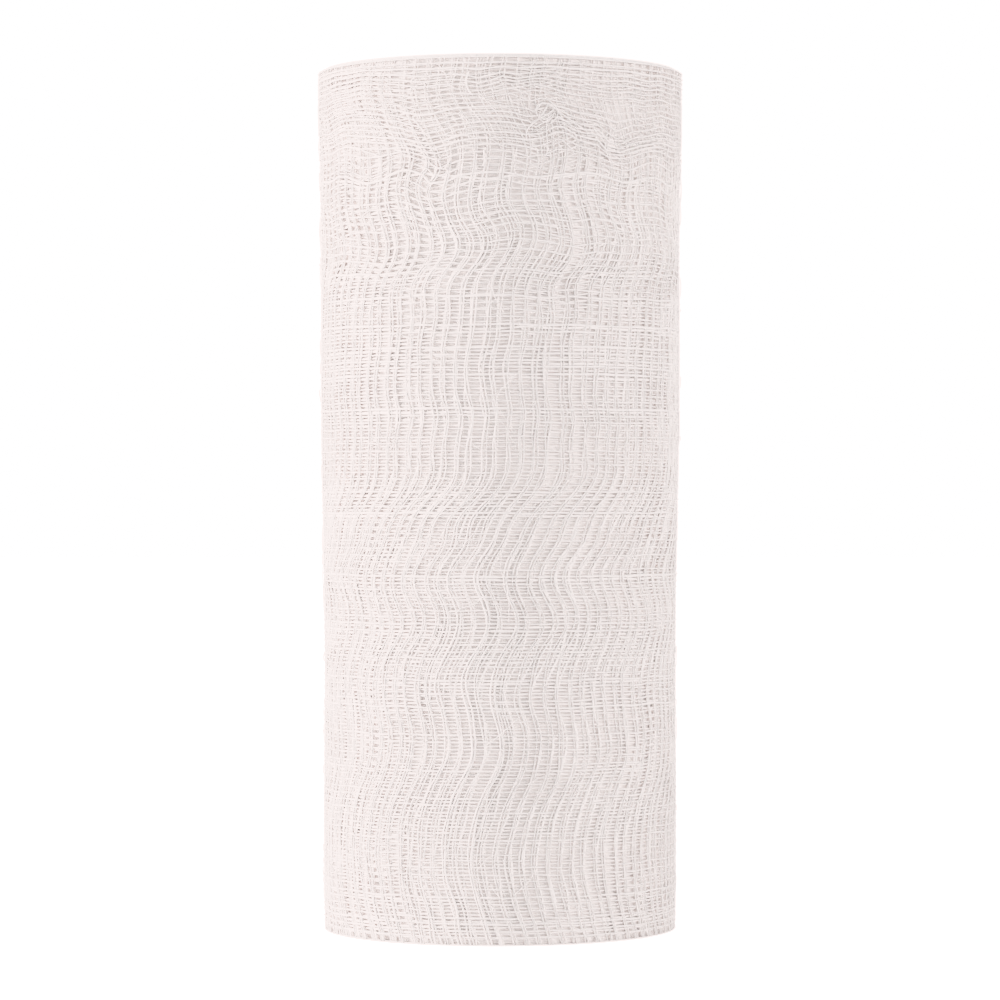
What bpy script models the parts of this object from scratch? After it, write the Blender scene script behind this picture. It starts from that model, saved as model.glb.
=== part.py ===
"""A gauze bandage roll: one narrow cotton bandage wound tight on itself, standing on one end.

Metres, +Z up along the winding axis. The origin is the middle of the end that the roll stands on.
The whole roll is one length of cloth, so it is one solid: its wound outline, the low step of the
outer free end, and the main turns as a shallow spiral ridge in both end faces.
"""

import math

import bmesh
import bpy

# The cloth
BANDAGE_WIDTH = 0.100  # the height of the standing roll
CLOTH_THICKNESS = 0.00028  # one layer, as wound

# The wound outline
BOTTOM_RADIUS = 0.0209
TOP_RADIUS = 0.0215  # wound a little slacker at this end
FREE_END_STEP = 2 * CLOTH_THICKNESS  # the free end lies on the turn below, its edge turned under once
FREE_END_ANGLE = math.radians(104)  # round at the back
FREE_END_WANDER = math.radians(3.5)  # how far that edge strays from straight
LOBE_HEIGHT = 0.00016  # how far the soft side swells and draws in
RIM_ROUNDING = 0.0007

# The main turns that show in the end faces
EYE_RADIUS = 0.0022
MAIN_TURNS = 6
RIDGE_SHARE = 0.66  # of the pitch, the rest is the groove
PLAIN_BORDER = 0.0014  # between the last main turn and the outline, where it comes closest
TURN_PITCH = (BOTTOM_RADIUS - EYE_RADIUS - PLAIN_BORDER) / (MAIN_TURNS + RIDGE_SHARE)
GROOVE_DEPTH = 0.0006
TOP_UNEVENNESS = 0.00025  # how far some turns lie below others in the upper end

# The mesh
COLUMNS = 72
SIDE_ROWS = 15
RINGS_PER_TURN = 3


def clear_scene():
    for old in list(bpy.data.objects):
        bpy.data.objects.remove(old, do_unlink=True)


def cotton_material():
    """Bleached cotton gauze: warm off-white, matt."""
    material = bpy.data.materials.new("bleached_cotton_gauze")
    material.use_nodes = True
    shader = material.node_tree.nodes["Principled BSDF"]
    shader.inputs["Base Color"].default_value = (0.86, 0.81, 0.78, 1.0)
    shader.inputs["Roughness"].default_value = 0.95
    shader.inputs["Metallic"].default_value = 0.0
    material.diffuse_color = (0.86, 0.81, 0.78, 1.0)
    return material


def side_radius(share, angle, height):
    """The outline: share is 0 where the outermost turn starts and 1 at its free end."""
    taper = BOTTOM_RADIUS + (TOP_RADIUS - BOTTOM_RADIUS) * height / BANDAGE_WIDTH
    swell = math.sin(2 * angle + 40 * height) * math.cos(math.pi * 3 * height / BANDAGE_WIDTH)
    return taper - FREE_END_STEP * (1 - share) + LOBE_HEIGHT * swell


def free_end_shift(height):
    """How far round the free edge lies at this height: it wanders, and is straight at both ends."""
    along = height / BANDAGE_WIDTH
    return FREE_END_WANDER * math.sin(math.pi * along) * math.sin(2.6 * math.pi * along)


def ring_of_side(bm, height, inset):
    """One ring of the side, from the start of the outermost turn to its free end."""
    ring = []
    edge_width = 0.5 * FREE_END_STEP / BOTTOM_RADIUS
    for column in range(COLUMNS):
        share = column / (COLUMNS - 1)
        turn = edge_width + (2 * math.pi - 2 * edge_width) * share
        angle = FREE_END_ANGLE + turn + free_end_shift(height)
        radius = side_radius(share, angle, height) - inset
        ring.append(bm.verts.new((radius * math.cos(angle), radius * math.sin(angle), height)))
    return ring


def side_rings(bm):
    """The rings from one rounded rim to the other, as (height, inset) rows."""
    rounding = [
        (RIM_ROUNDING * (1 - math.cos(bend)), RIM_ROUNDING * (1 - math.sin(bend)))
        for bend in (0.0, math.pi / 4, math.pi / 2)
    ]
    rows = list(rounding)
    span = BANDAGE_WIDTH - 2 * RIM_ROUNDING
    rows += [(RIM_ROUNDING + span * step / SIDE_ROWS, 0.0) for step in range(1, SIDE_ROWS)]
    rows += [(BANDAGE_WIDTH - rise, inset) for rise, inset in reversed(rounding)]
    return [ring_of_side(bm, height, inset) for height, inset in rows]


def spiral_rings(bm, upper):
    """Rings that climb outwards by one pitch a turn, so that ring 0 runs on into the next turn."""
    offsets = (0.0, RIDGE_SHARE, (1 + RIDGE_SHARE) / 2)
    widest = (TOP_RADIUS if upper else BOTTOM_RADIUS) / BOTTOM_RADIUS
    rings = []
    for ring in range(MAIN_TURNS * RINGS_PER_TURN - 1):
        whole, part = divmod(ring, RINGS_PER_TURN)
        row = []
        for column in range(COLUMNS):
            turns = whole + offsets[part] + column / COLUMNS
            angle = FREE_END_ANGLE + 2 * math.pi * (column + 0.5) / COLUMNS
            radius = (EYE_RADIUS + TURN_PITCH * turns) * widest
            depth = GROOVE_DEPTH if part == RINGS_PER_TURN - 1 else 0.0
            if upper:
                lies_low = 0.5 - 0.5 * math.cos(2.2 * turns + 0.9 * math.sin(angle))
                depth += TOP_UNEVENNESS * lies_low * min(1.0, turns)
            height = BANDAGE_WIDTH - depth if upper else depth
            row.append(bm.verts.new((radius * math.cos(angle), radius * math.sin(angle), height)))
        rings.append(row)
    return rings


def skin(bm, corners, upper):
    """One face, turned to point down on the lower end and up on the upper end."""
    bm.faces.new(corners if upper else list(reversed(corners)))


def end_face(bm, rim, upper):
    """The wound end: a spiral strip from the eye outwards, joined to the rim and closed at the eye."""
    rings = spiral_rings(bm, upper)
    outermost = len(rings) - 1
    last = COLUMNS - 1
    for ring in range(outermost):
        inner, outer = rings[ring], rings[ring + 1]
        for column in range(last):
            skin(bm, (inner[column], outer[column], outer[column + 1], inner[column + 1]), upper)
        if ring + 1 + RINGS_PER_TURN <= outermost:
            next_inner, next_outer = rings[ring + RINGS_PER_TURN], rings[ring + 1 + RINGS_PER_TURN]
            skin(bm, (inner[last], outer[last], next_outer[0], next_inner[0]), upper)
    border = rings[outermost]
    for column in range(last):
        skin(bm, (border[column], rim[column], rim[column + 1], border[column + 1]), upper)
    loose = [rings[ring][last] for ring in range(outermost - RINGS_PER_TURN, outermost + 1)]
    skin(bm, loose + [rim[last], rim[0], border[0]], upper)
    eye = bm.verts.new((0.0, 0.0, BANDAGE_WIDTH if upper else 0.0))
    inside = rings[0] + [rings[ring][0] for ring in range(RINGS_PER_TURN, 0, -1)]
    for here, there in zip(inside, inside[1:] + inside[:1]):
        skin(bm, (eye, here, there), upper)


def wound_roll():
    """The closed skin of the roll: side, free end and both wound ends."""
    bm = bmesh.new()
    rings = side_rings(bm)
    for lower, higher in zip(rings, rings[1:]):
        for column in range(COLUMNS):
            after = (column + 1) % COLUMNS
            bm.faces.new((lower[column], lower[after], higher[after], higher[column]))
    end_face(bm, rings[0], upper=False)
    end_face(bm, rings[-1], upper=True)
    bmesh.ops.triangulate(bm, faces=bm.faces, quad_method="SHORT_EDGE", ngon_method="EAR_CLIP")
    low_x, high_x = min(v.co.x for v in bm.verts), max(v.co.x for v in bm.verts)
    low_y, high_y = min(v.co.y for v in bm.verts), max(v.co.y for v in bm.verts)
    middle = (-(low_x + high_x) / 2, -(low_y + high_y) / 2, 0.0)
    bmesh.ops.translate(bm, verts=bm.verts, vec=middle)
    mesh = bpy.data.meshes.new("gauze_roll")
    bm.to_mesh(mesh)
    bm.free()
    mesh.shade_smooth()
    mesh.set_sharp_from_angle(angle=math.radians(35))
    mesh.materials.append(cotton_material())
    roll = bpy.data.objects.new("gauze_roll", mesh)
    bpy.context.scene.collection.objects.link(roll)
    return roll


clear_scene()
wound_roll()
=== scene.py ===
import math

import bmesh
import bpy
import numpy as np
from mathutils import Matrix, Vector


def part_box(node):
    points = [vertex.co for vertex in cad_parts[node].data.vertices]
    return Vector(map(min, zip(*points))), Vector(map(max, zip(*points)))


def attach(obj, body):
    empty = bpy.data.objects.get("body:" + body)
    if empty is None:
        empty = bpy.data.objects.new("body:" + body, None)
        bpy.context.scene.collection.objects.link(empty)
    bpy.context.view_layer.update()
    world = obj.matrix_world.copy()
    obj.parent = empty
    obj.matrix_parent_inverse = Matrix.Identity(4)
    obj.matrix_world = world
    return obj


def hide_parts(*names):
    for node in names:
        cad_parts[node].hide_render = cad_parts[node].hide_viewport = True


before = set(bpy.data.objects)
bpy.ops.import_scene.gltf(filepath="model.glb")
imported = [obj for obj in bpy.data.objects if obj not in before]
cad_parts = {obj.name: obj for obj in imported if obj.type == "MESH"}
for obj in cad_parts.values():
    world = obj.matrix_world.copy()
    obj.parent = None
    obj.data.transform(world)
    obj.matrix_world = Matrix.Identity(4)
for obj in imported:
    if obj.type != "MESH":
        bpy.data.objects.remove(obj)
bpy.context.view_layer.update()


# ---------------------------------------------------------------------------------------------
# The wound body: every turn of the bandage under the outer three. It is one long cut of thin
# cotton gauze, wound tight from a closed eye outwards, so it is one grid of cloth laid along a
# spiral and thickened. Its two long edges are uneven, and sink a little between the main turns.
# ---------------------------------------------------------------------------------------------
MM = 0.001
low_corner, high_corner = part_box("gauze_roll")
CLOTH_WIDTH = high_corner.z - low_corner.z
TOP_RADIUS = 21.5 * MM
BOTTOM_RADIUS = 20.9 * MM
AXIS_X, AXIS_Y = -0.14 * MM, -0.15 * MM  # the free end makes one side thicker than the other
EYE_RADIUS = 1.1 * MM
FREE_END_ANGLE = math.radians(104)  # round at the back
TURNS = 70
OPEN_TURNS = 3  # these show their threads, and lie looser than the rest
OPEN_TURN_PITCH = 0.175 * MM
OUTER_LIFT = 0.45 * MM  # from the outline in to the middle of the outermost cloth
SWELL = 0.16 * MM
MAIN_TURN_PITCH = 2.6 * MM


def waves(x, y, size, seed, count=9):
    """Smooth unevenness of about unit height over flat places x, y, with features of this size."""
    rng = np.random.default_rng(seed)
    total = 0.0
    for _ in range(count):
        heading = rng.uniform(0, 2 * math.pi)
        length = size * rng.uniform(1.4, 4.0)
        phase = rng.uniform(0, 2 * math.pi)
        along = x * math.cos(heading) + y * math.sin(heading)
        total = total + np.sin(2 * math.pi * along / length + phase)
    return total * math.sqrt(2 / count)


def smooth_step(x, start, end):
    t = np.clip((x - start) / (end - start), 0, 1)
    return t * t * (3 - 2 * t)


def depth_of_turn(turn):
    """How far the middle of the cloth lies inside the outermost cloth, this many turns in."""
    inner_pitch = ((TOP_RADIUS + BOTTOM_RADIUS) / 2 - OUTER_LIFT - EYE_RADIUS
                   - OPEN_TURNS * OPEN_TURN_PITCH) / (TURNS - OPEN_TURNS)
    open_part = np.minimum(turn, OPEN_TURNS) * OPEN_TURN_PITCH
    return open_part + np.maximum(turn - OPEN_TURNS, 0) * inner_pitch


def wound_radius(turn, angle, height):
    """The radius of the middle of the cloth at this turn, counted inwards from the free end."""
    outer = BOTTOM_RADIUS + (TOP_RADIUS - BOTTOM_RADIUS) * height / CLOTH_WIDTH - OUTER_LIFT
    mean_outer = (BOTTOM_RADIUS + TOP_RADIUS) / 2 - OUTER_LIFT
    radius = EYE_RADIUS + (outer - EYE_RADIUS) * (1 - depth_of_turn(turn) / (mean_outer - EYE_RADIUS))
    swell = np.sin(2 * angle + 40 * height) * np.cos(3 * math.pi * height / CLOTH_WIDTH)
    return radius + SWELL * swell * radius / outer


def on_the_roll(turn, sideways, height, lift):
    """Where a point of the flat cloth lies once wound: turns in from the free end, a shift along
    the cloth towards that end, height above the lower edge, and lift outwards from the cloth."""
    straight = FREE_END_ANGLE - 2 * math.pi * turn
    angle = straight + sideways / wound_radius(turn, straight, height)
    radius = wound_radius(turn, angle, height) + lift
    place = np.empty(np.broadcast(turn, height).shape + (3,))
    place[..., 0] = AXIS_X + radius * np.cos(angle)
    place[..., 1] = AXIS_Y + radius * np.sin(angle)
    place[..., 2] = height
    return place


def edge_dip(turn, seed):
    """How far an edge of the cloth stands back from the end of the roll: it wanders from turn to
    turn, and sinks between the main turns."""
    main = np.cos(2 * math.pi * depth_of_turn(turn) / MAIN_TURN_PITCH)
    wander = 0.11 * waves(turn * 8, turn * 0, 2.6, seed) + 0.05 * waves(turn * 50, turn * 0, 6, seed + 1)
    under_open_turns = smooth_step(turn, OPEN_TURNS, OPEN_TURNS + 2.5)
    dip = np.clip(0.2 - 0.16 * main + wander, 0.02, 0.6) * under_open_turns
    return MM * (0.03 + dip)


COLUMN_STEP = 1.8 * MM
COLUMNS_IN_A_TURN = 14  # at least, next to the eye
BODY_ROWS = (0, 0.005, 0.02, 0.1, 0.26, 0.42, 0.58, 0.74, 0.9, 0.98, 0.995, 1)
BODY_THICKNESS = 0.21 * MM
EDGE_RUFFLE = 0.04 * MM
EDGE_SLACK = 0.22 * MM  # how far the inner turns stray at both ends, where nothing holds them

column_turns = [float(OPEN_TURNS)]
while column_turns[-1] < TURNS:
    here = wound_radius(column_turns[-1], 0.0, CLOTH_WIDTH / 2)
    column_turns.append(column_turns[-1] + min(COLUMN_STEP / (2 * math.pi * here), 1 / COLUMNS_IN_A_TURN))
column_turns = np.array(column_turns)
mean_radii = wound_radius(column_turns, 0.0, CLOTH_WIDTH / 2)
column_lengths = np.concatenate([[0], np.cumsum(np.diff(column_turns) * 2 * math.pi * mean_radii[1:])])

bm = bmesh.new()
bmesh.ops.create_grid(bm, x_segments=len(column_turns) - 1, y_segments=len(BODY_ROWS) - 1, size=1)
bm.verts.ensure_lookup_table()
columns = np.array([round((v.co.x + 1) / 2 * (len(column_turns) - 1)) for v in bm.verts])
rows = np.array([round((v.co.y + 1) / 2 * (len(BODY_ROWS) - 1)) for v in bm.verts])
turn = column_turns[columns]
share = np.array(BODY_ROWS)[rows]
lower_edge = edge_dip(turn, 21)
upper_edge = CLOTH_WIDTH - edge_dip(turn, 31)
height = lower_edge + share * (upper_edge - lower_edge)
near_an_end = smooth_step(np.abs(height - CLOTH_WIDTH / 2), CLOTH_WIDTH * 0.46, CLOTH_WIDTH * 0.5)
ruffle = waves(turn * 30, height * 150, 5, 41) * EDGE_RUFFLE * near_an_end
place = on_the_roll(turn, 0.0, height, ruffle)
inside = 1 - smooth_step(np.hypot(place[:, 0], place[:, 1]), 12 * MM, 20 * MM)
slack = EDGE_SLACK * near_an_end * inside
place[:, 0] += slack * waves(place[:, 0] / MM, place[:, 1] / MM + height / MM, 4, 43)
place[:, 1] += slack * waves(place[:, 0] / MM, place[:, 1] / MM + height / MM, 4, 44)
for vert, point in zip(bm.verts, place):
    vert.co = point
cloth_map = bm.loops.layers.uv.new("cloth")
flat_length = column_lengths[columns]
for face in bm.faces:
    for loop in face.loops:
        at = loop.vert.index
        loop[cloth_map].uv = (flat_length[at] / MM, height[at] / MM)
bmesh.ops.recalc_face_normals(bm, faces=bm.faces)
body_mesh = bpy.data.meshes.new("wound_body")
bm.to_mesh(body_mesh)
bm.free()
body_mesh.shade_smooth()
wound_body = bpy.data.objects.new("wound_body", body_mesh)
bpy.context.scene.collection.objects.link(wound_body)
thicken = wound_body.modifiers.new("cloth thickness", "SOLIDIFY")
thicken.thickness = BODY_THICKNESS
thicken.offset = 0


def cotton_colour_group():
    """Bleached cotton seen close: a warm white that drifts over centimetres and along each thread,
    towards a creamier tone here and there at random, with a fine height for the fibres."""
    group = bpy.data.node_groups.new("cotton_fibre", "ShaderNodeTree")
    face = group.interface
    face.new_socket("Light tone", in_out="INPUT", socket_type="NodeSocketColor")
    face.new_socket("Deep tone", in_out="INPUT", socket_type="NodeSocketColor")
    face.new_socket("Unevenness", in_out="INPUT", socket_type="NodeSocketFloat")
    face.new_socket("Colour", in_out="OUTPUT", socket_type="NodeSocketColor")
    face.new_socket("Fibre height", in_out="OUTPUT", socket_type="NodeSocketFloat")
    nodes, links = group.nodes, group.links
    given = nodes.new("NodeGroupInput")
    out = nodes.new("NodeGroupOutput")
    place = nodes.new("ShaderNodeTexCoord")
    drift = nodes.new("ShaderNodeTexNoise")
    drift.inputs["Scale"].default_value = 90
    drift.inputs["Detail"].default_value = 3
    speck = nodes.new("ShaderNodeTexNoise")
    speck.inputs["Scale"].default_value = 3200
    speck.inputs["Detail"].default_value = 2
    fibre = nodes.new("ShaderNodeTexNoise")
    fibre.inputs["Scale"].default_value = 7000
    fibre.inputs["Detail"].default_value = 2
    for texture in (drift, speck, fibre):
        links.new(place.outputs["Object"], texture.inputs["Vector"])
    both = nodes.new("ShaderNodeMath")
    both.operation = "ADD"
    links.new(drift.outputs["Fac"], both.inputs[0])
    links.new(speck.outputs["Fac"], both.inputs[1])
    centred = nodes.new("ShaderNodeMath")
    centred.operation = "SUBTRACT"
    links.new(both.outputs[0], centred.inputs[0])
    centred.inputs[1].default_value = 0.75
    scaled = nodes.new("ShaderNodeMath")
    scaled.operation = "MULTIPLY"
    scaled.use_clamp = True
    links.new(centred.outputs[0], scaled.inputs[0])
    links.new(given.outputs["Unevenness"], scaled.inputs[1])
    blend = nodes.new("ShaderNodeMix")
    blend.data_type = "RGBA"
    links.new(scaled.outputs[0], blend.inputs["Factor"])
    links.new(given.outputs["Light tone"], blend.inputs["A"])
    links.new(given.outputs["Deep tone"], blend.inputs["B"])
    links.new(blend.outputs["Result"], out.inputs["Colour"])
    links.new(fibre.outputs["Fac"], out.inputs["Fibre height"])
    return group


cotton_fibre = cotton_colour_group()


def cotton_material(name, light, deep, unevenness, bump):
    """A matt cotton with a soft bloom at grazing light. Returns the material and its bump node."""
    material = bpy.data.materials.new(name)
    material.use_nodes = True
    nodes, links = material.node_tree.nodes, material.node_tree.links
    shader = nodes["Principled BSDF"]
    shader.inputs["Roughness"].default_value = 0.95
    shader.inputs["Specular IOR Level"].default_value = 0.15
    shader.inputs["Sheen Weight"].default_value = 0.6
    shader.inputs["Sheen Roughness"].default_value = 0.8
    shader.inputs["Sheen Tint"].default_value = (1, 0.945, 0.935, 1)
    cotton = nodes.new("ShaderNodeGroup")
    cotton.node_tree = cotton_fibre
    cotton.inputs["Light tone"].default_value = (*light, 1)
    cotton.inputs["Deep tone"].default_value = (*deep, 1)
    cotton.inputs["Unevenness"].default_value = unevenness
    links.new(cotton.outputs["Colour"], shader.inputs["Base Color"])
    relief = nodes.new("ShaderNodeBump")
    relief.inputs["Distance"].default_value = bump
    relief.inputs["Strength"].default_value = 0.6
    links.new(cotton.outputs["Fibre height"], relief.inputs["Height"])
    links.new(relief.outputs["Normal"], shader.inputs["Normal"])
    return material, cotton, relief


def weave_group():
    """Two layers of open plain weave, drawn in millimetres of the flat cloth: how much thread
    there is at a place, from 0 in a gap to 1 on a thread."""
    group = bpy.data.node_groups.new("gauze_weave", "ShaderNodeTree")
    group.interface.new_socket("Cloth place", in_out="INPUT", socket_type="NodeSocketVector")
    group.interface.new_socket("Thread", in_out="OUTPUT", socket_type="NodeSocketFloat")
    nodes, links = group.nodes, group.links
    given = nodes.new("NodeGroupInput")
    out = nodes.new("NodeGroupOutput")
    push = nodes.new("ShaderNodeTexNoise")
    push.inputs["Scale"].default_value = 0.3
    links.new(given.outputs["Cloth place"], push.inputs["Vector"])
    pushed = nodes.new("ShaderNodeVectorMath")
    pushed.operation = "MULTIPLY_ADD"
    links.new(push.outputs["Color"], pushed.inputs[0])
    pushed.inputs[1].default_value = (2.4, 1.2, 0)
    links.new(given.outputs["Cloth place"], pushed.inputs[2])
    parted = nodes.new("ShaderNodeSeparateXYZ")
    links.new(pushed.outputs[0], parted.inputs[0])
    most = None
    for axis, pitch, start, strength in (
        ("X", 1.5, 0.0, 1.0), ("Y", 0.78, 0.0, 1.0), ("X", 1.46, 0.6, 0.65), ("Y", 0.8, 0.4, 0.65)
    ):
        counted = nodes.new("ShaderNodeMath")
        counted.operation = "MULTIPLY_ADD"
        links.new(parted.outputs[axis], counted.inputs[0])
        counted.inputs[1].default_value = 1 / pitch
        counted.inputs[2].default_value = start
        from_thread = nodes.new("ShaderNodeMath")
        from_thread.operation = "PINGPONG"
        links.new(counted.outputs[0], from_thread.inputs[0])
        from_thread.inputs[1].default_value = 0.5
        thread = nodes.new("ShaderNodeMapRange")
        thread.interpolation_type = "SMOOTHSTEP"
        links.new(from_thread.outputs[0], thread.inputs["Value"])
        thread.inputs["From Min"].default_value = 0.08
        thread.inputs["From Max"].default_value = 0.24
        thread.inputs["To Min"].default_value = strength
        thread.inputs["To Max"].default_value = 0
        if most:
            larger = nodes.new("ShaderNodeMath")
            larger.operation = "MAXIMUM"
            links.new(most.outputs[0], larger.inputs[0])
            links.new(thread.outputs["Result"], larger.inputs[1])
            most = larger
        else:
            most = thread
    links.new(most.outputs[0], out.inputs["Thread"])
    return group


# Painted light: the packed turns are the same cotton as the open turns, painted lighter to lift the shade
# they lie in deep in the roll.
packed_gauze, packed_cotton, packed_relief = cotton_material(
    "packed_gauze", (0.985, 0.951, 0.939), (0.90, 0.862, 0.85), 1.4, 0.00010
)
nodes, links = packed_gauze.node_tree.nodes, packed_gauze.node_tree.links
cloth_place = nodes.new("ShaderNodeUVMap")
cloth_place.uv_map = "cloth"
weave = nodes.new("ShaderNodeGroup")
weave.node_tree = weave_group()
links.new(cloth_place.outputs["UV"], weave.inputs["Cloth place"])
# Painted shade: the gaps of the drawn weave take a darker tone, for the shade down between the threads.
painted_gap_shade = nodes.new("ShaderNodeMix")
painted_gap_shade.data_type = "RGBA"
painted_gap_shade.inputs["A"].default_value = (0.94, 0.904, 0.892, 1)
links.new(weave.outputs["Thread"], painted_gap_shade.inputs["Factor"])
links.new(packed_cotton.outputs["Colour"], painted_gap_shade.inputs["B"])
links.new(painted_gap_shade.outputs["Result"], nodes["Principled BSDF"].inputs["Base Color"])
weave_height = nodes.new("ShaderNodeMath")
weave_height.operation = "MULTIPLY_ADD"
links.new(weave.outputs["Thread"], weave_height.inputs[0])
weave_height.inputs[1].default_value = 2.0
links.new(packed_cotton.outputs["Fibre height"], weave_height.inputs[2])
links.new(weave_height.outputs[0], packed_relief.inputs["Height"])
body_mesh.materials.append(packed_gauze)
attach(wound_body, "root")
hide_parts("gauze_roll")


# ---------------------------------------------------------------------------------------------
# The outer turns: the same gauze, where it shows as a net of threads. Soft double wefts run up the
# roll and fine warps run round it, one over and one under. Handling has pushed the threads about,
# so the wefts lean this way and that in bands, and near the top the warps sag and swirl.
# ---------------------------------------------------------------------------------------------
ROUND_RADIUS = 21.0  # in mm, for measuring round the outer turns
WEFT_PITCH = 1.5 * MM
WARP_PITCH = 0.78 * MM
CROWDED_PITCH = 0.57 * MM  # the warps lie closer towards the top
WEFT_RADIUS = 0.155 * MM
PLY_RADIUS = 0.098 * MM  # each weft is two yarns side by side, which part here and there
PLY_APART = 0.175 * MM  # from the middle of the pair
WARP_RADIUS = 0.095 * MM
UNDER_WARP_RADIUS = 0.114 * MM
WEFT_CRIMP = 0.035 * MM
WARP_CRIMP = 0.07 * MM
TURNS_APART_AT_TOP = 0.04  # in mm: near the top the open turns stand off one another by this
PLIES_APART_AT_TOP = 0.12 * MM  # and the two yarns of a weft part further there
THINNER_AT_TOP = 0.38  # and each yarn of a weft is thinner by this share
FLATTER_AT_TOP = 0.4  # and each warp waves less by this share
LOWEST_WARP = 0.19 * MM
HIGHEST_WARP = CLOTH_WIDTH - 0.45 * MM  # the turns inside stand a little higher at this end
FREE_END_WANDER = math.radians(3.5)
# turns in from the free end, and how far the cloth was wound off line there, in mm, plus up
WINDING_DRIFT = ((0, 0), (0.8, 0), (1.15, -0.39), (1.8, -0.39), (2.15, 0), (3, 0))

# height in mm, and how the wefts lean there in degrees, plus where they go right on the way down
WEFT_LEANS = (
    (100, -6), (97.5, -12), (96, 12), (94.5, 24), (91, 27), (89, 6), (86.5, -18), (84.5, 0),
    (82, 26), (79.5, 12), (77.5, -28), (75.5, -38), (73, -3), (68, -6), (62, -2), (60, 20),
    (58, -8), (54, 0), (52, -28), (50, -44), (48, -34), (46.3, -12), (44, -40), (42.4, -28),
    (41, 4), (39.6, 32), (38, 22), (36.5, 0), (35, -24), (33, -32), (31, -18), (28.5, 0),
    (26.5, 16), (24, 10), (21.5, -8), (19, -26), (16, -24), (13, -10), (10.5, 0), (7, 10),
    (3.5, 16), (0, 20),
)
# mm round from the middle of the front, height, half width, half height, and how far warps rise
WARP_SAGS = (
    (3.0, 95.4, 3.2, 1.5, 0.9),
    (14.5, 92.5, 5.5, 3.4, -1.4),
    (-19.0, 93.0, 5.0, 4.0, 0.8),
    (-8.5, 91.8, 4.5, 3.4, -0.9),
    (7.2, 90.3, 2.3, 1.5, 0.9),
    (4.0, 88.3, 1.8, 1.2, -0.6),
    (20.5, 88.9, 2.6, 1.8, 0.7),
    (16.0, 87.2, 3.0, 1.4, -0.7),
    (9.2, 87.9, 2.0, 1.0, 0.6),
    (-16.5, 87.2, 3.2, 1.6, -1.0),
    (-11.8, 87.9, 2.3, 1.4, 0.6),
    (-7.3, 85.4, 3.0, 2.0, -1.0),
    (4.8, 86.1, 3.0, 1.0, -0.6),
    (24.5, 85.3, 2.6, 2.5, -0.9),
    (-6.0, 82.0, 5.0, 2.2, -0.9),
    (-14.0, 78.0, 4.0, 2.5, -0.6),
    (2.0, 80.5, 4.0, 2.0, 0.5),
    (10.0, 77.5, 5.0, 2.5, -0.5),
)
# mm round from the middle of the front, height, radius, and the turn at its middle in degrees
EDDIES = ((5.0, 93.4, 1.5, 85), (12.6, 90.6, 1.9, -45), (-8.2, 86.2, 1.8, -40), (-1.0, 96.9, 1.5, 35))
HEAVY_WARPS = (72.5, 69.4, 67.1, 64.2, 60.4, 48.4, 41.4, 86.4)  # heights in mm
HEAVY_FATNESS = 1.42

lean_heights = np.linspace(0, 100, 401)
lean_table = np.array(WEFT_LEANS)[::-1]
lean_degrees = np.interp(lean_heights, lean_table[:, 0], lean_table[:, 1])
soften = np.exp(-0.5 * (np.arange(-8, 9) / 2.0) ** 2)
lean_degrees = np.convolve(np.pad(lean_degrees, 8, mode="edge"), soften / soften.sum(), "valid")
lean_steps = np.tan(np.radians(lean_degrees)) * (lean_heights[1] - lean_heights[0])
lean_shift = np.cumsum(lean_steps[::-1])[::-1]
lean_shift = lean_shift - lean_shift.mean()


def round_from_front(turn):
    """How far round the roll from the middle of the front, in mm, plus to the right."""
    angle = FREE_END_ANGLE - 2 * math.pi * turn + math.pi / 2
    return (np.mod(angle + math.pi, 2 * math.pi) - math.pi) * ROUND_RADIUS


def pushed_threads(turn, height):
    """How far the threads were pushed there: along the cloth to the viewer's right, and up."""
    flat = turn * 2 * math.pi * ROUND_RADIUS
    tall = height / MM
    from_front = round_from_front(turn)
    front = 1 - smooth_step(np.abs(from_front), 36, 56)
    under = smooth_step(turn, 0.95, 1.1)
    same_push = tall + (0.3 + 0.25 * under) * waves(flat * 0.7, tall, 7, 53)
    own_push = tall + 5.0 * waves(flat, tall * 0, 26, 51)
    push = front * same_push + (1 - front) * own_push
    strength = 1 - (1 - front) * (0.25 + 0.2 * waves(flat, tall, 22, 52)) - 0.06 * under
    loose = np.interp(push, lean_heights, lean_shift) * strength
    loose = loose + 0.11 * waves(flat * 0.6, tall, 3.0, 54)
    along = height / CLOTH_WIDTH
    held = FREE_END_WANDER * ROUND_RADIUS * np.sin(math.pi * along) * np.sin(2.6 * math.pi * along)
    from_free_end = smooth_step(flat, 2, 22)
    right = from_free_end * loose + (1 - from_free_end) * held

    drift_turns, drift_heights = np.array(WINDING_DRIFT).T
    up = np.interp(turn, drift_turns, drift_heights)
    up = up + (0.045 + 0.13 * smooth_step(tall, 66, 82)) * waves(flat, tall, 3.6, 55)
    over_front = front * (1 - 0.7 * under)
    for centre, level, half_width, half_height, rise in WARP_SAGS:
        off = ((from_front + right - centre) / half_width) ** 2 + ((tall - level) / half_height) ** 2
        up = up + rise * np.exp(-off) * over_front
    up = up + (1 - over_front) * waves(flat, tall * 1.6, 6.0, 56) * 0.4 * smooth_step(tall, 70, 84)
    inside = smooth_step(tall, 0, 2.5) * (1 - smooth_step(tall, 97.2, 99.6))
    up = up * inside

    for centre, level, radius, twist in EDDIES:
        aside, above = from_front + right - centre, tall + up - level
        bend = math.radians(twist) * np.exp(-(aside ** 2 + above ** 2) / radius ** 2) * over_front
        right = right + aside * (np.cos(bend) - 1) - above * np.sin(bend)
        up = up + aside * np.sin(bend) + above * (np.cos(bend) - 1)
    return right * MM, up * MM


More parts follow.
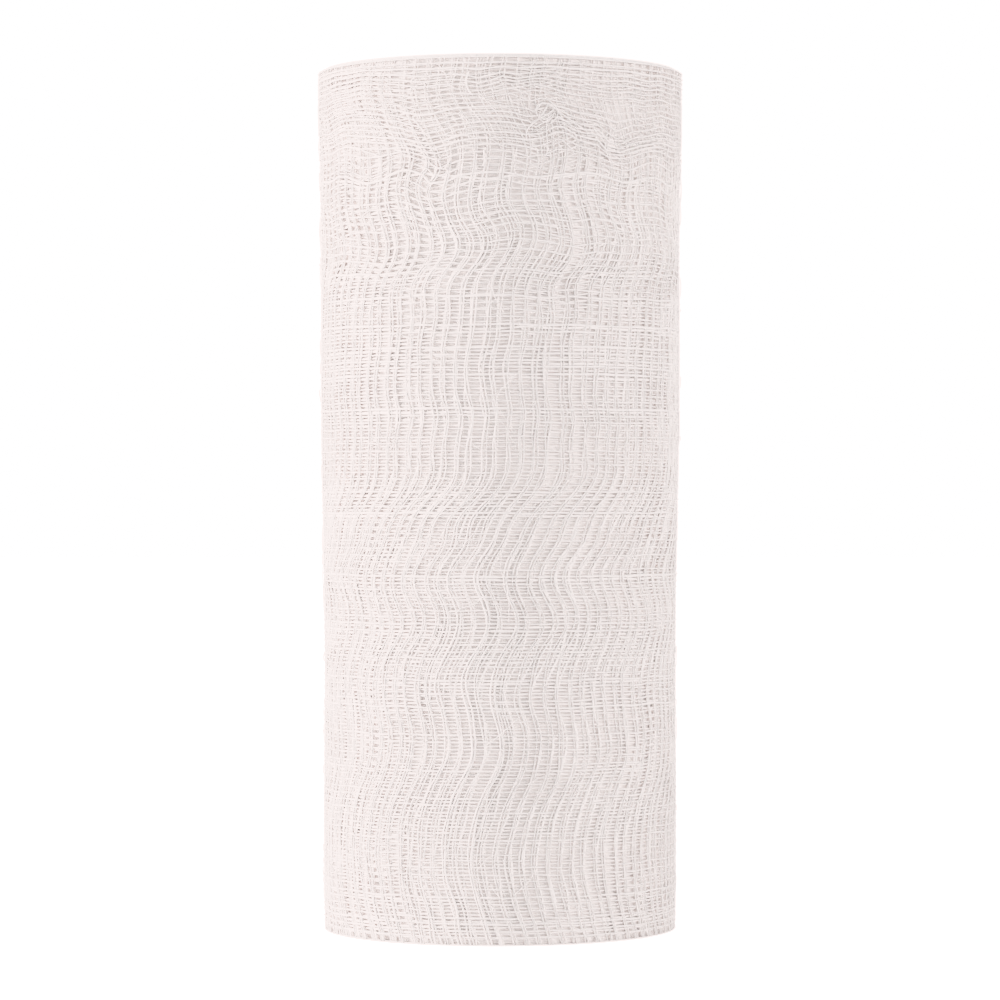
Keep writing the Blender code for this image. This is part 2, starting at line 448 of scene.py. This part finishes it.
def thread_object(name, paths, thickness, material):
    """Threads as tubes of four sides: each path is its points and how thick it is at each of them."""
    curve = bpy.data.curves.new(name, "CURVE")
    curve.dimensions = "3D"
    curve.bevel_depth = thickness
    curve.bevel_resolution = 0
    curve.use_fill_caps = True
    for points, fatness in paths:
        spline = curve.splines.new("POLY")
        spline.points.add(len(points) - 1)
        four = np.ones((len(points), 4))
        four[:, :3] = points
        spline.points.foreach_set("co", four.ravel())
        spline.points.foreach_set("radius", np.asarray(fatness, float))
    drawn = bpy.data.objects.new(name, curve)
    mesh = bpy.data.meshes.new_from_object(drawn)
    bpy.data.objects.remove(drawn)
    bpy.data.curves.remove(curve)
    bm = bmesh.new()
    bm.from_mesh(mesh)
    bmesh.ops.remove_doubles(bm, verts=bm.verts, dist=1e-7)
    bm.to_mesh(mesh)
    bm.free()
    mesh.materials.clear()
    mesh.materials.append(material)
    mesh.shade_smooth()
    piece = bpy.data.objects.new(name, mesh)
    bpy.context.scene.collection.objects.link(piece)
    return piece


def joined(name, parts):
    """Several meshes, each of one material, made one piece."""
    bm = bmesh.new()
    mesh = bpy.data.meshes.new(name)
    for slot, part in enumerate(parts):
        faces_before = len(bm.faces)
        bm.from_mesh(part.data)
        bm.faces.ensure_lookup_table()
        for face in bm.faces[faces_before:]:
            face.material_index = slot
        mesh.materials.append(part.data.materials[0])
        bpy.data.objects.remove(part)
    bm.to_mesh(mesh)
    bm.free()
    mesh.shade_smooth()
    piece = bpy.data.objects.new(name, mesh)
    bpy.context.scene.collection.objects.link(piece)
    return piece


weft_count = round(OPEN_TURNS * 2 * math.pi * ROUND_RADIUS * MM / WEFT_PITCH)
fine_heights = np.linspace(LOWEST_WARP, HIGHEST_WARP, 4001)
crowded = smooth_step(fine_heights / MM, 86, 94)
warps_per_metre = (1 - crowded) / WARP_PITCH + crowded / CROWDED_PITCH
warps_so_far = np.cumsum(warps_per_metre) * np.diff(fine_heights)[0]
warp_count = round(warps_so_far[-1] - warps_so_far[0]) + 1
thread_dice = np.random.default_rng(7)
weft_turns = np.arange(weft_count) / weft_count * OPEN_TURNS
pairing = 0.05 * (-1.0) ** np.arange(weft_count) + thread_dice.normal(0, 0.07, weft_count)
weft_turns = weft_turns + pairing * WEFT_PITCH / (2 * math.pi * ROUND_RADIUS * MM)
warp_numbers = np.linspace(warps_so_far[0], warps_so_far[-1], warp_count)
warp_heights = np.interp(warp_numbers, warps_so_far, fine_heights)
crowding = 0.06 * waves(np.arange(warp_count), 0, 4, 57) + thread_dice.normal(0, 0.05, warp_count)
warp_heights[1:-1] = warp_heights[1:-1] + crowding[1:-1] * WARP_PITCH
weft_fatness = thread_dice.normal(1.0, 0.10, weft_count).clip(0.75, 1.3)
warp_fatness = thread_dice.normal(1.0, 0.12, warp_count).clip(0.7, 1.35)
warp_fatness[[0, -1]] = 0.85
for heavy in HEAVY_WARPS:
    warp_fatness[np.abs(warp_heights / MM - heavy).argmin()] = HEAVY_FATNESS


def crossings(wefts, warps_at):
    """The pushed places where these wefts meet these heights: turn, sideways shift and height."""
    turn, height = np.meshgrid(weft_turns[wefts], warps_at, indexing="ij")
    right, up = pushed_threads(turn, height)
    return turn, right, height + up


def slubs(count, seed):
    """How the thickness of spun cotton varies along one thread."""
    at = np.arange(count)
    return 1 + 0.10 * waves(at, at * 0, 2.2, seed) + 0.08 * waves(at, at * 0, 9, seed + 1)


def weft_paths(first, last, plies):
    """Wefts first to last: each weaves over and under every warp, and ends just past the edges."""
    paths = []
    for weft in range(first, last):
        ends = thread_dice.uniform(0.02, 0.09, 2) * MM
        levels = np.concatenate([[LOWEST_WARP - ends[0]], warp_heights, [HIGHEST_WARP + ends[1]]])
        turn, right, height = crossings([weft], levels)
        over = np.concatenate([[0], (-1.0) ** (np.arange(warp_count) + weft), [0]])
        near_top = smooth_step(levels / MM, 85, 95)
        loose = (TURNS_APART_AT_TOP * (OPEN_TURNS - turn[0]) - 0.02) * MM * near_top
        lift = WEFT_CRIMP * over + loose
        parting = 1 + 0.30 * waves(levels / MM, levels * 0, 3.2, 900 + weft)
        apart = (PLY_APART + PLIES_APART_AT_TOP * near_top) * parting
        for ply in range(plies):
            aside = (2 * ply - 1) * apart if plies == 2 else 0.0
            points = on_the_roll(turn[0], right[0] + aside, height[0], lift)
            fatness = weft_fatness[weft] * slubs(len(levels), 2000 + 2 * weft + ply)
            fatness = fatness * (1 - THINNER_AT_TOP * near_top)
            fatness[[0, -1]] = 0.6
            paths.append((points, fatness))
    return paths


def warp_paths(first, last, steps):
    """The stretch of each warp from one weft to another, with this many steps between wefts. At
    the free end each warp runs a little past the first weft."""
    paths = []
    wefts = np.arange(first, min(last + 1, weft_count))
    turn, right, height = crossings(wefts, warp_heights)
    for warp in range(warp_count):
        over = -((-1.0) ** (wefts + warp))
        places = np.arange(0, len(wefts) - 1 + 1e-9, 1 / steps)
        at = np.arange(len(wefts))
        bow = np.interp(places, at, over)
        lift = WARP_CRIMP * np.sign(bow) * np.abs(bow) ** 0.7
        near_top = smooth_step(warp_heights[warp] / MM, 84, 92)
        lift = lift * (1 - FLATTER_AT_TOP * near_top)
        thread_turn = np.interp(places, at, turn[:, warp])
        lift = lift + (TURNS_APART_AT_TOP * (OPEN_TURNS - thread_turn) + 0.01) * MM * near_top
        thread_right = np.interp(places, at, right[:, warp])
        thread_height = np.interp(places, at, height[:, warp])
        fatness = warp_fatness[warp] * slubs(weft_count * steps, 5000 + warp)
        fatness = fatness[first * steps:first * steps + len(places)]
        if first == 0:
            past = thread_dice.uniform(0.2, 0.8) * MM
            thread_turn = np.insert(thread_turn, 0, thread_turn[0])
            thread_right = np.insert(thread_right, 0, thread_right[0] + past)
            past_height = thread_height[0] + past * thread_dice.normal(0, 0.3)
            thread_height = np.insert(thread_height, 0, past_height)
            lift = np.insert(lift, 0, -lift[0] * 0.5)
            fatness = np.insert(fatness, 0, 0.6)
        paths.append((on_the_roll(thread_turn, thread_right, thread_height, lift), fatness))
    return paths


THREAD_UNEVENNESS = 1.4
THREAD_BUMP = 0.03 * MM
# Painted shade: the outer wefts are the same cotton as the turns beneath, painted darker to hold down the
# light on the outermost threads.
weft_cotton_painted_darker, _, _ = cotton_material(
    "soft_weft_painted_darker", (0.855, 0.818, 0.806), (0.785, 0.744, 0.731), THREAD_UNEVENNESS, THREAD_BUMP
)
# Painted highlight: the outer warps are painted lighter than the wefts, for the light they catch where
# they lie over them; the loose fibres share this tone.
warp_cotton_painted_highlight, _, _ = cotton_material(
    "fine_warp_painted_highlight", (0.92, 0.884, 0.872), (0.845, 0.804, 0.791), THREAD_UNEVENNESS, THREAD_BUMP
)
# Painted light: the threads of the second and third turns are painted lighter than those of the outer
# turn, to lift the shade they lie in.
under_cotton_painted_light, _, _ = cotton_material(
    "under_thread_painted_light", (0.965, 0.928, 0.915), (0.89, 0.85, 0.836), THREAD_UNEVENNESS, THREAD_BUMP
)


def open_turn(name, stretches, plies, warp_steps, weft_material, warp_material):
    """One piece of the net, from its stretches of the cloth, each given as a pair of wefts."""
    wefts, warps = [], []
    for first, last in stretches:
        wefts += weft_paths(first, min(last, weft_count), plies)
        warps += warp_paths(first, last, warp_steps)
    parts = [
        thread_object(name + "_wefts", wefts, PLY_RADIUS if plies == 2 else WEFT_RADIUS, weft_material),
        thread_object(name + "_warps", warps, WARP_RADIUS if plies == 2 else UNDER_WARP_RADIUS,
                      warp_material),
    ]
    piece = joined(name, parts)
    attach(piece, "root")
    return piece


per_turn = weft_count // OPEN_TURNS
right_side, left_side = round(per_turn * 0.29), round(per_turn * 0.79)
open_turn("outer_turn_front", [(right_side, left_side)], 2, 2, weft_cotton_painted_darker, warp_cotton_painted_highlight)
open_turn("outer_turn_back", [(0, right_side), (left_side, per_turn)], 2, 2, weft_cotton_painted_darker, warp_cotton_painted_highlight)
open_turn("second_turn", [(per_turn, 2 * per_turn)], 1, 1, under_cotton_painted_light, under_cotton_painted_light)
open_turn("third_turn", [(2 * per_turn, 3 * per_turn)], 1, 1, under_cotton_painted_light, under_cotton_painted_light)


# ---------------------------------------------------------------------------------------------
# Loose fibres and pulled strands: fine ends of cotton that have worked out of the yarns and lie
# over the outer turn, most of them near the top, and a few strands that handling has pulled out
# of line there, one of them into a small ring.
# ---------------------------------------------------------------------------------------------
FIBRE_RADIUS = 0.036 * MM
FIBRES, FIBRE_STEPS = 700, 5
RING_PLACE, RING_HEIGHT, RING_RADIUS = 5.1, 93.4, 1.05  # in mm, round from the middle of the front
# each strand's points: mm round from the middle of the front, then height in mm
PULLED_STRANDS = (
    ((5.3, 92.5), (5.25, 91.0), (5.35, 89.8), (5.2, 88.6)),
    ((4.4, 92.6), (3.6, 92.0), (3.0, 91.2), (3.1, 90.2)),
    ((6.1, 92.9), (7.4, 92.5), (8.6, 92.2), (9.8, 91.5)),
    ((-10.0, 92.9), (-9.6, 92.4), (-9.0, 91.7), (-8.4, 90.9)),
    ((-1.6, 89.4), (-1.75, 88.8), (-1.7, 88.0), (-1.9, 87.3)),
    ((-6.9, 88.1), (-6.4, 87.0), (-5.9, 87.5), (-5.5, 88.3)),
    ((-17.8, 90.0), (-16.9, 89.5), (-15.8, 89.2), (-14.8, 88.9)),
    ((11.0, 92.2), (11.3, 91.4), (12.2, 90.9), (12.9, 91.3)),
    ((-3.4, 97.9), (-3.7, 97.0), (-3.6, 96.1), (-3.0, 95.2)),
    ((8.6, 88.7), (7.6, 89.9), (6.6, 90.4), (5.9, 89.7)),
)

fibre_dice = np.random.default_rng(83)
fibres = []
for fibre in range(FIBRES):
    near_top = fibre < FIBRES * 0.25
    middle = fibre_dice.uniform(85, 98) if near_top else fibre_dice.uniform(3, 96)
    length = fibre_dice.uniform(2.0, 5.5)
    along_weft = 1.5 if fibre_dice.random() < 0.3 else 0.0
    heading = along_weft + fibre_dice.normal(0, 0.45)
    steps = np.linspace(-0.5, 0.5, FIBRE_STEPS + 1)
    headings = heading + fibre_dice.normal(0, 0.9) * steps + fibre_dice.normal(0, 0.25, FIBRE_STEPS + 1)
    run = np.cumsum(np.cos(headings)) * length / FIBRE_STEPS
    rise = np.cumsum(np.sin(headings)) * length / FIBRE_STEPS
    height = np.clip(middle + rise - rise.mean(), 0.4, 99.2) * MM
    lift = (0.15 + fibre_dice.uniform(0.03, 0.14) * np.cos(math.pi * steps)) * MM
    points = on_the_roll(fibre_dice.uniform(0.03, 0.97), (run - run.mean()) * MM, height, lift)
    fibres.append((points, np.append(np.full(FIBRE_STEPS, fibre_dice.uniform(0.7, 1.2)), 0.4)))


def strand_on_front(places, heights, lift, fatness):
    """A strand over the outer turn, through places given in mm round from the middle of the front."""
    front = (FREE_END_ANGLE + math.pi / 2) / (2 * math.pi) % 1
    points = on_the_roll(front, np.asarray(places) * MM, np.asarray(heights) * MM, lift)
    return points, np.full(len(points), fatness)


for strand in PULLED_STRANDS:
    places, heights = np.array(strand).T
    fine = np.linspace(0, 3, 10)
    curve_places = np.poly1d(np.polyfit(range(4), places, 3))(fine)
    curve_heights = np.poly1d(np.polyfit(range(4), heights, 3))(fine)
    fibres.append(strand_on_front(curve_places, curve_heights, 0.17 * MM, 2.2))
for ring, (reach, start, sweep) in enumerate(((1.0, 0.6, 5.6), (0.75, 3.4, 2.6), (1.3, 5.2, 2.4))):
    around = start + np.linspace(0, sweep, 16)
    radius = reach * RING_RADIUS * (1 + 0.08 * np.sin(3 * around + ring))
    places, heights = RING_PLACE + radius * np.cos(around), RING_HEIGHT + radius * np.sin(around)
    fibres.append(strand_on_front(places, heights, (0.17 + 0.03 * ring) * MM, 2.2))

loose_fibres = thread_object("loose_fibres", fibres, FIBRE_RADIUS, warp_cotton_painted_highlight)
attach(loose_fibres, "root")


# ---------------------------------------------------------------------------------------------
# The studio: a plain pale floor under an even white sky, with a strong soft light from the left and
# weaker ones from the front, the right and behind. The camera is level with the middle of the
# roll, and answers to bright cloth as the photograph does.
# ---------------------------------------------------------------------------------------------
BACKGROUND_LIGHT = 3.0  # as the camera sees it
SKY_ON_CLOTH = 0.62
ROLL_MIDDLE = (0, 0, 0.05)

bm = bmesh.new()
bmesh.ops.create_grid(bm, x_segments=1, y_segments=1, size=3)
floor_mesh = bpy.data.meshes.new("studio_floor")
bm.to_mesh(floor_mesh)
bm.free()
floor_material = bpy.data.materials.new("pale_floor")
floor_material.use_nodes = True
floor_shader = floor_material.node_tree.nodes["Principled BSDF"]
floor_shader.inputs["Base Color"].default_value = (0.98, 0.98, 0.98, 1)
floor_shader.inputs["Roughness"].default_value = 0.9
floor_shader.inputs["Emission Color"].default_value = (1, 1, 1, 1)
floor_links = floor_material.node_tree.links
floor_glow = floor_material.node_tree.nodes.new("ShaderNodeMath")  # so it is as white as the sky
floor_glow.operation = "MULTIPLY"
floor_glow.inputs[1].default_value = BACKGROUND_LIGHT
seen_floor = floor_material.node_tree.nodes.new("ShaderNodeLightPath")
floor_links.new(seen_floor.outputs["Is Camera Ray"], floor_glow.inputs[0])
floor_links.new(floor_glow.outputs[0], floor_shader.inputs["Emission Strength"])
floor_mesh.materials.append(floor_material)
studio_floor = bpy.data.objects.new("studio_floor", floor_mesh)
bpy.context.scene.collection.objects.link(studio_floor)

sky = bpy.data.worlds.new("white_sky")
sky.use_nodes = True
sky_nodes, sky_links = sky.node_tree.nodes, sky.node_tree.links
background = sky_nodes["Background"]
background.inputs["Color"].default_value = (1, 1, 1, 1)
seen_directly = sky_nodes.new("ShaderNodeLightPath")
sky_strength = sky_nodes.new("ShaderNodeMapRange")
sky_strength.inputs["To Min"].default_value = SKY_ON_CLOTH
sky_strength.inputs["To Max"].default_value = BACKGROUND_LIGHT
sky_links.new(seen_directly.outputs["Is Camera Ray"], sky_strength.inputs["Value"])
sky_links.new(sky_strength.outputs["Result"], background.inputs["Strength"])
bpy.context.scene.world = sky

# light that reaches the camera, and what the picture shows of it: bright cloth rolls off, and the
# background stays white
FILM = ((0.3, 0.33), (0.53, 0.59), (0.69, 0.73), (0.84, 0.825), (0.97, 0.885), (1.2, 0.935),
        (1.5, 0.972), (2, 0.987))
WARMTH = (1, 0.93, 0.913)  # red, green and blue of the brightest cloth

view = bpy.context.scene.view_settings
view.view_transform = "Standard"
view.use_curve_mapping = True
view.curve_mapping.white_level = (BACKGROUND_LIGHT,) * 3
for channel, warmth in zip(view.curve_mapping.curves, WARMTH):
    for light, shown in FILM:
        channel.points.new(light * warmth / BACKGROUND_LIGHT, shown * warmth)
view.curve_mapping.update()
bpy.context.scene.cycles.diffuse_bounces = 12


def soft_light(name, place, size, power):
    """A round light that looks at the middle of the roll."""
    lamp = bpy.data.lights.new(name, "AREA")
    lamp.shape = "DISK"
    lamp.size = size
    lamp.energy = power
    holder = bpy.data.objects.new(name, lamp)
    holder.location = place
    direction = [a - p for a, p in zip(ROLL_MIDDLE, place)]
    holder.rotation_euler = Vector(direction).to_track_quat("-Z", "Y").to_euler()
    bpy.context.scene.collection.objects.link(holder)


soft_light("front", (0.08, -1.1, 0.12), 0.24, 2.3)
soft_light("left", (-0.978, -0.07, 0.15), 0.32, 9.6)
soft_light("right", (0.89, -0.4, 0.15), 0.32, 3.0)
soft_light("back", (0.25, 0.9, 0.3), 0.6, 2.0)

CAMERA_DISTANCE = 0.4715
camera = bpy.data.cameras.new("camera")
camera.sensor_width = 36
camera.lens = 145.2
camera.clip_start = 0.01
camera_holder = bpy.data.objects.new("camera", camera)
camera_holder.location = (0, -CAMERA_DISTANCE, CLOTH_WIDTH / 2)
camera_holder.rotation_euler = (math.pi / 2, 0, 0)
camera.shift_x = -0.001
bpy.context.scene.collection.objects.link(camera_holder)
bpy.context.scene.camera = camera_holder
